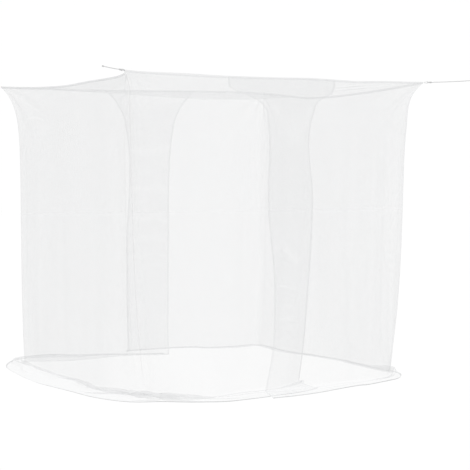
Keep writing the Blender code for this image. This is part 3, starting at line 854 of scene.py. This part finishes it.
class NET_OT_wall_cloths(bpy.types.Operator):
    """Hangs the two wall cloths, with their hems turned, their hanging folds and their loose feet"""

    bl_idname = "net.wall_cloths"
    bl_label = "Wall Cloths"

    def execute(self, context):
        sizes = context.scene.net_sizes
        for node, cloth in WALL_CLOTHS.items():
            tops, across_offsets = self.columns(cloth, sizes)
            downs, down_offsets = self.rows(sizes)
            top, down = np.meshgrid(tops, downs)
            reach = 0.0005
            points = cloth.surface(top, down)
            side = cloth.surface(top + reach, down) - cloth.surface(top - reach, down)
            fall = cloth.surface(top, down + reach) - cloth.surface(top, np.maximum(down - reach, 0))
            normals = np.cross(fall, side)
            normals /= np.maximum(np.linalg.norm(normals, axis=-1, keepdims=True), 1e-12)
            outward = normals * -1.0 if self.faces_in(points, normals) else normals
            points = points - outward * (across_offsets[None, :] + down_offsets[:, None])[..., None]
            points[..., 2] += sizes.hem_rise * ease((down - CUT + sizes.hem) / sizes.hem)
            inside = (tops > cloth.start + sizes.hem * 1.01) & (tops < cloth.end - sizes.hem * 1.01)
            at_side = ~(inside[1:] | inside[:-1])
            above = downs < CUT - sizes.hem * 1.01
            at_foot = ~(above[1:] | above[:-1])
            slots = np.where(at_foot[:, None], 2, np.where(at_side[None, :], 1, 0))
            materials = [net_material(finish) for finish in ("sheer_net", "turned_side", "turned_hem")]
            thing = grid_object(node + "_net", points, top, CUT - down, materials, slots)
            as_net(thing)
            stand_for(thing, node)
        return {"FINISHED"}

    @staticmethod
    def faces_in(points, normals):
        """True if the normals point into the net."""
        row = len(points) // 3
        return float((points[row, :, :2] * normals[row, :, :2]).sum()) < 0

    @staticmethod
    def columns(cloth, sizes):
        """(places at the top, distances in from the outer face) of the columns, with a hem at each end."""
        close = np.geomspace(0.004, 0.12, 14)
        corners = np.concatenate([NET.corners - NET.length, NET.corners])
        near_corner = (corners[:, None] + np.concatenate([-close, close])).ravel()
        hem, fold = sizes.hem, sizes.fold
        even = steps_between(cloth.start + hem, cloth.end - hem, sizes.step)
        extra = near_corner[(near_corner > even[1]) & (near_corner < even[-2])]
        plain = np.unique(np.round(np.concatenate([even, extra]), 5))
        turned = np.array((-hem / 2, 0, fold / 2, 0, -hem / 2, -hem))
        offsets = [0, 0, fold / 2, fold, fold, fold]
        tops = np.concatenate([cloth.start - turned[::-1], plain, cloth.end + turned])
        return tops, np.array([*offsets[::-1], *([0] * len(plain)), *offsets])

    @staticmethod
    def rows(sizes):
        """(distances down, distances in from the outer face) of the rows, with a hem at the bottom."""
        hem, fold, straight = sizes.hem, sizes.fold, -FLOOR - BEND - LIE
        laid = straight + BEND * math.pi / 2
        plain = np.concatenate(
            [
                np.array((0.0, 0.004, 0.009, 0.018)),
                steps_between(0.027, 0.30, 0.011),
                steps_between(0.30, 1.75, 0.028)[1:],
                steps_between(1.75, straight, 0.016)[1:],
                steps_between(straight, laid, 0.006)[1:],
                steps_between(laid, CUT - hem, 0.0032)[1:],
            ]
        )
        turned = [CUT - hem / 2, CUT, CUT + fold / 2, CUT, CUT - hem / 2, CUT - hem]
        offsets = [*([0] * len(plain)), 0, 0, fold / 2, fold, fold, fold]
        return np.array([*plain, *turned]), np.array(offsets)


class NET_OT_roof(bpy.types.Operator):
    """Stretches the roof panel between its four edges, sagging and gathered towards its tips"""

    bl_idname = "net.roof"
    bl_label = "Roof"

    def execute(self, context):
        sizes = context.scene.net_sizes
        shares = self.shares()
        starts = [*NET.corners, NET.corners[0] + NET.length]
        sides = []
        for a, b in zip(starts, starts[1:]):
            places = (a + (b - a) * shares) % NET.length
            sides.append(on_net(places, 0.0, -ROOF_INSET, eave(places)))
        left, back, right, front = sides[0], sides[1], sides[2][::-1], sides[3][::-1]
        u, v = shares[None, :, None], shares[:, None, None]
        points = front[None] * (1 - v) + back[None] * v + left[:, None] * (1 - u) + right[:, None] * u
        points = points - (left[0] * (1 - u) + right[0] * u) * (1 - v)
        points = points - (left[-1] * (1 - u) + right[-1] * u) * v
        u, v = u[..., 0], v[..., 0]
        points[..., 2] -= sizes.roof_sag * np.sin(math.pi * u) * np.sin(math.pi * v)
        points[..., 2] += self.gathers(u, v)
        across, along = np.broadcast_arrays(u * ROOF_CUT[0], v * ROOF_CUT[1])
        # the roof's finish is thinner at grazing views than the walls': painted light from above
        thing = grid_object("roof_net", points, across, along, [net_material("roof_net")])
        as_net(thing)
        stand_for(thing, "roof_panel")
        return {"FINISHED"}

    @staticmethod
    def shares():
        """Where the roof is divided, closer towards its edges."""
        even = np.linspace(0, 1, 97)
        close = np.geomspace(0.0015, 0.05, 12)
        return np.unique(np.round(np.concatenate([even, close, 1 - close]), 5))

    @staticmethod
    def gathers(u, v):
        """Height of the fine folds that run in from the tips and of the slack between them."""
        height = 0.0
        edge = np.sin(math.pi * u) * np.sin(math.pi * v)
        for x, y in ((0, 0), (0, 1), (1, 0), (1, 1)):
            far_x, far_y = np.abs(u - x) * ROOF_CUT[0], np.abs(v - y) * ROOF_CUT[1]
            away, turned = np.hypot(far_x, far_y) / ROOF_GATHER_REACH, np.arctan2(far_y, far_x)
            height = height + ROOF_GATHER_DEPTH * np.sin(ROOF_GATHERS * turned) * away * np.exp(1 - away)
        height += ROOF_SLACK * np.sin(9.0 * u + 2.5 * v) * np.sin(7.0 * v - 1.5 * u + 1.0)
        return height * np.clip(edge * 14, 0, 1)


class NET_OT_binding(bpy.types.Operator):
    """Folds the tape that binds the roof's edge over the tops of the walls"""

    bl_idname = "net.binding"
    bl_label = "Binding"

    def execute(self, context):
        sizes = context.scene.net_sizes
        even = steps_between(0, NET.length, sizes.step)[:-1]
        close = np.geomspace(0.002, 0.10, 12)
        extra = np.concatenate([[corner, *(corner - close), *(corner + close)] for corner in NET.corners])
        places = np.unique(np.round(np.concatenate([even, extra]) % NET.length, 5))
        profile = (
            # (down, in from the outer face): up the outside, over the fold and down the inside
            (BINDING_LOW, 0.0),
            (BINDING_LOW / 2, -0.0002),
            (0.0, 0.0),
            (-BINDING_ABOVE, 0.0003),
            (-BINDING_ABOVE - 0.0006, 0.0007),
            (-BINDING_ABOVE, 0.0011),
            (0.0, 0.0013),
            (BINDING_LOW / 2, 0.0014),
            (BINDING_LOW, 0.0013),
        )
        ripple = 0.0005 * np.sin(places * 61) + 0.0004 * np.sin(places * 143 + 1)
        _, past = NET.nearest_corner(places)
        stands = STAND_HIGH * np.exp(-(((places - STAND_PLACE) / STAND_WIDE) ** 2))
        stands *= 1 - np.exp(-np.abs(past) / 0.05)
        points = []
        for down, inward in profile:
            out = BINDING_OUT + TAPE / 2 - inward + lap_out(places, max(down, 0)) + ripple * (down > 0)
            rise = stands if down < 0 else 0.0
            points.append(on_net(places, max(down, 0), out, eave(places) - down + rise))
        points = np.array(points)
        across = np.broadcast_to(places, points.shape[:2])
        along = np.broadcast_to(np.linspace(0, BINDING_CUT, len(profile))[:, None], points.shape[:2])
        thing = grid_object("binding", points, across, along, [net_material("folded_binding")], closed=True)
        as_net(thing)
        stand_for(thing, "edge_binding")
        return {"FINISHED"}


def corner_frame(name):
    """The matrix of a corner's loop and cord: x runs along the cord from the near end of the loop."""
    x, y, rise, _, _ = CORDS[name]
    place = NET.corners[list(CORNERS).index(name)]
    along = Vector((x, y, rise)).normalized()
    tip = Vector(on_net(place, 0.0, BINDING_OUT, eave(place)))
    return Matrix.Translation(tip + along * LOOP_OUT) @ along.to_track_quat("X", "Z").to_matrix().to_4x4()


def knot_path(centre, long, radius):
    """The closed path of an overhand knot, pulled tight, along x about its centre."""
    t = np.linspace(0, 2 * math.pi, 90, endpoint=False) + 0.3
    x = -np.sin(3 * t) * 0.42
    y = (np.sin(t) + 2 * np.sin(2 * t)) / 3
    z = (np.cos(t) - 2 * np.cos(2 * t)) / 3
    path = np.stack([centre + x * long, y * radius, z * radius], -1)
    return np.concatenate([path, path[:1]])


def core_path(start, end):
    """The straight path of the cord that runs through a knot."""
    x = np.linspace(start, end, 8)
    return np.stack([x, 0 * x, 0 * x], -1)


class NET_OT_corners(bpy.types.Operator):
    """Sews the loops of tape to the tips and ties the cords to them"""

    bl_idname = "net.corners"
    bl_label = "Loops, Knots and Cords"

    def execute(self, context):
        for name in CORNERS:
            frame = corner_frame(name)
            loop = self.loop(name, frame)
            tie, end = self.knots(name, frame, context.scene.net_sizes)
            self.cord(name, frame, context.scene.net_sizes, [loop, tie, end])
        return {"FINISHED"}

    @staticmethod
    def loop(name, frame):
        """A flat loop of woven tape with soft edges."""
        radius = (LOOP_HIGH - TAPE) / 2
        straight = LOOP_LONG - LOOP_HIGH
        around = []
        for i in range(48):
            angle = 2 * math.pi * (i + 0.5) / 48
            pinch = 1.0 if math.cos(angle) > 0 else 0.55
            centre = LOOP_HIGH / 2 + (straight if math.cos(angle) > 0 else 0.0)
            around.append((centre + radius * math.cos(angle), radius * pinch * math.sin(angle)))
        around = np.array(around)
        ways = np.roll(around, -1, 0) - np.roll(around, 1, 0)
        ways /= np.linalg.norm(ways, axis=1, keepdims=True)
        outward = np.stack([ways[:, 1], -ways[:, 0]], -1)
        half, thick, soft = LOOP_WIDE / 2, TAPE / 2, 0.0004
        section = [(-half + soft, thick), (half - soft, thick), (half, thick - soft), (half, soft - thick)]
        section += [(-y, -off) for y, off in section] + section[:1]
        longs = np.concatenate([[0], np.cumsum(np.linalg.norm(np.diff(around, axis=0), axis=1))])
        rows = []
        for y, off in section:
            line = around + outward * off
            rows.append(np.stack([line[:, 0], np.full(len(line), y), line[:, 1]], -1))
        uv_along, uv_across = np.meshgrid(longs, np.arange(len(section)) * LOOP_WEAVE)
        points = placed(np.array(rows), frame)
        woven = [net_material("woven_tape")]
        thing = grid_object("tape_loop_" + name, points, uv_along, uv_across, woven, closed=True)
        thing.data.uv_layers[0].name = "lay"
        stand_for(thing, "corner_loop_" + name)
        return thing

    @staticmethod
    def knots(name, frame, sizes):
        """The eye of cord through the loop with its knot, and the knot at the cord's far end."""
        thick, thin = sizes.cord / 2, sizes.cord / 2 * KNOT_SQUEEZE
        turn = np.linspace(0, 2 * math.pi, 49)
        eye = np.stack([HOLE_END + EYE_RADIUS * np.cos(turn), EYE_RADIUS * 0.92 * np.sin(turn), 0 * turn], -1)
        far = CORD_START + CORDS[name][3] + GAP + END_KNOT_LONG / 2
        tie = [
            (eye, thick),
            (knot_path(HOLE_END + KNOT_OUT, KNOT_LONG, 0.0042), thin),
            (core_path(HOLE_END + EYE_RADIUS - 0.001, CORD_START - GAP - 0.0005), thick),
        ]
        end = [
            (knot_path(far, END_KNOT_LONG, 0.0036), thin),
            (core_path(far - END_KNOT_LONG / 2, far + END_KNOT_LONG / 2 - 0.0005), thick),
        ]
        tied = []
        for kind, paths in (("tie_knot_", tie), ("end_knot_", end)):
            tubes = [tube(placed(path, frame), radius, sizes.cord_sides) for path, radius in paths]
            thing = tubes_object(kind + "of_cord_" + name, tubes, net_material("braided_cord"))
            stand_for(thing, kind + name)
            tied.append(thing)
        return tied

    @staticmethod
    def cord(name, frame, sizes, pieces):
        """A cord held taut, sagging a little between its knots."""
        length, sag = CORDS[name][3:]
        share = np.linspace(0, 1, 2 * round(length / 0.0125) + 1)
        path = np.stack([CORD_START + length * share, 0 * share, -4 * sag * share * (1 - share)], -1)
        path = placed(path, frame)
        shape = tube(path, sizes.cord / 2, sizes.cord_sides)
        thing = tubes_object("hanging_cord_" + name, [shape], net_material("braided_cord"))
        stand_for(thing, "cord_" + name)


class NET_OT_stage(bpy.types.Operator):
    """Sets up the plain floor, the soft studio light and the camera"""

    bl_idname = "net.stage"
    bl_label = "Stage"

    def execute(self, context):
        scene = context.scene
        self.floor(scene)
        self.light(scene)
        self.camera(scene)
        scene.view_settings.view_transform = "Standard"
        scene.cycles.transparent_max_bounces = 64
        return {"FINISHED"}

    @staticmethod
    def floor(scene):
        """A wide plain floor under the hems."""
        mesh = bpy.data.meshes.new("floor")
        signs = ((-1, -1), (1, -1), (1, 1), (-1, 1))
        mesh.from_pydata([(x * FLOOR_HALF, y * FLOOR_HALF, FLOOR) for x, y in signs], [], [(0, 1, 2, 3)])
        material, _, shader = shader_material("plain_floor", tuple(scene.net_colours.floor), 0.9)
        shader.inputs["Specular IOR Level"].default_value = 0.0
        mesh.materials.append(material)
        linked("floor", mesh)

    @staticmethod
    def light(scene):
        """White light from all round, and a broad soft key from high on the front right."""
        world = bpy.data.worlds.new("studio")
        scene.world = world
        world.use_nodes = True
        background = world.node_tree.nodes["Background"]
        background.inputs["Color"].default_value = (1.0, 1.0, 1.0, 1.0)
        background.inputs["Strength"].default_value = SKY_STRENGTH
        lamp = bpy.data.lights.new("key", "SUN")
        lamp.energy = KEY_STRENGTH
        lamp.angle = math.radians(KEY_SPREAD)
        linked("key", lamp).rotation_euler = Vector(KEY_FROM).to_track_quat("Z", "Y").to_euler()

    @staticmethod
    def camera(scene):
        """A long lens from the front left, 1.4 m above the floor."""
        data = bpy.data.cameras.new("camera")
        data.sensor_width = 36.0
        data.lens = LENS
        data.clip_end = 200.0
        turned = Matrix.Rotation(-math.atan2(*CAMERA_WAY), 4, "Z")
        tilted = Matrix.Rotation(math.pi / 2 + math.radians(CAMERA_PITCH), 4, "X")
        rolled = Matrix.Rotation(math.radians(CAMERA_ROLL), 4, "Z")
        scene.camera = linked("camera", data)
        scene.camera.matrix_world = Matrix.Translation(CAMERA_AT) @ turned @ tilted @ rolled


class NET_PT_panel(bpy.types.Panel):
    """Lists the steps of the net"""

    bl_idname = "NET_PT_panel"
    bl_label = "Mosquito Net"
    bl_space_type = "VIEW_3D"
    bl_region_type = "UI"
    bl_category = "Mosquito Net"

    def draw(self, context):
        for operator in OPERATORS:
            self.layout.operator(operator.bl_idname)
        for group in (context.scene.net_sizes, context.scene.net_colours):
            for name in group.__annotations__:
                self.layout.prop(group, name)


OPERATORS = (NET_OT_stage, NET_OT_roof, NET_OT_wall_cloths, NET_OT_binding, NET_OT_corners)
CLASSES = (NetSizes, NetColours, *OPERATORS, NET_PT_panel)


def register():
    for kind in CLASSES:
        bpy.utils.register_class(kind)
    bpy.types.Scene.net_sizes = PointerProperty(type=NetSizes)
    bpy.types.Scene.net_colours = PointerProperty(type=NetColours)


def unregister():
    del bpy.types.Scene.net_colours
    del bpy.types.Scene.net_sizes
    for kind in reversed(CLASSES):
        bpy.utils.unregister_class(kind)


def main():
    register()
    for name in ("Cube", "Light", "Camera"):
        if name in bpy.data.objects:
            bpy.data.objects.remove(bpy.data.objects[name])
    bpy.ops.net.stage()
    bpy.ops.net.roof()
    bpy.ops.net.wall_cloths()
    bpy.ops.net.binding()
    bpy.ops.net.corners()


if __name__ == "__main__":
    main()
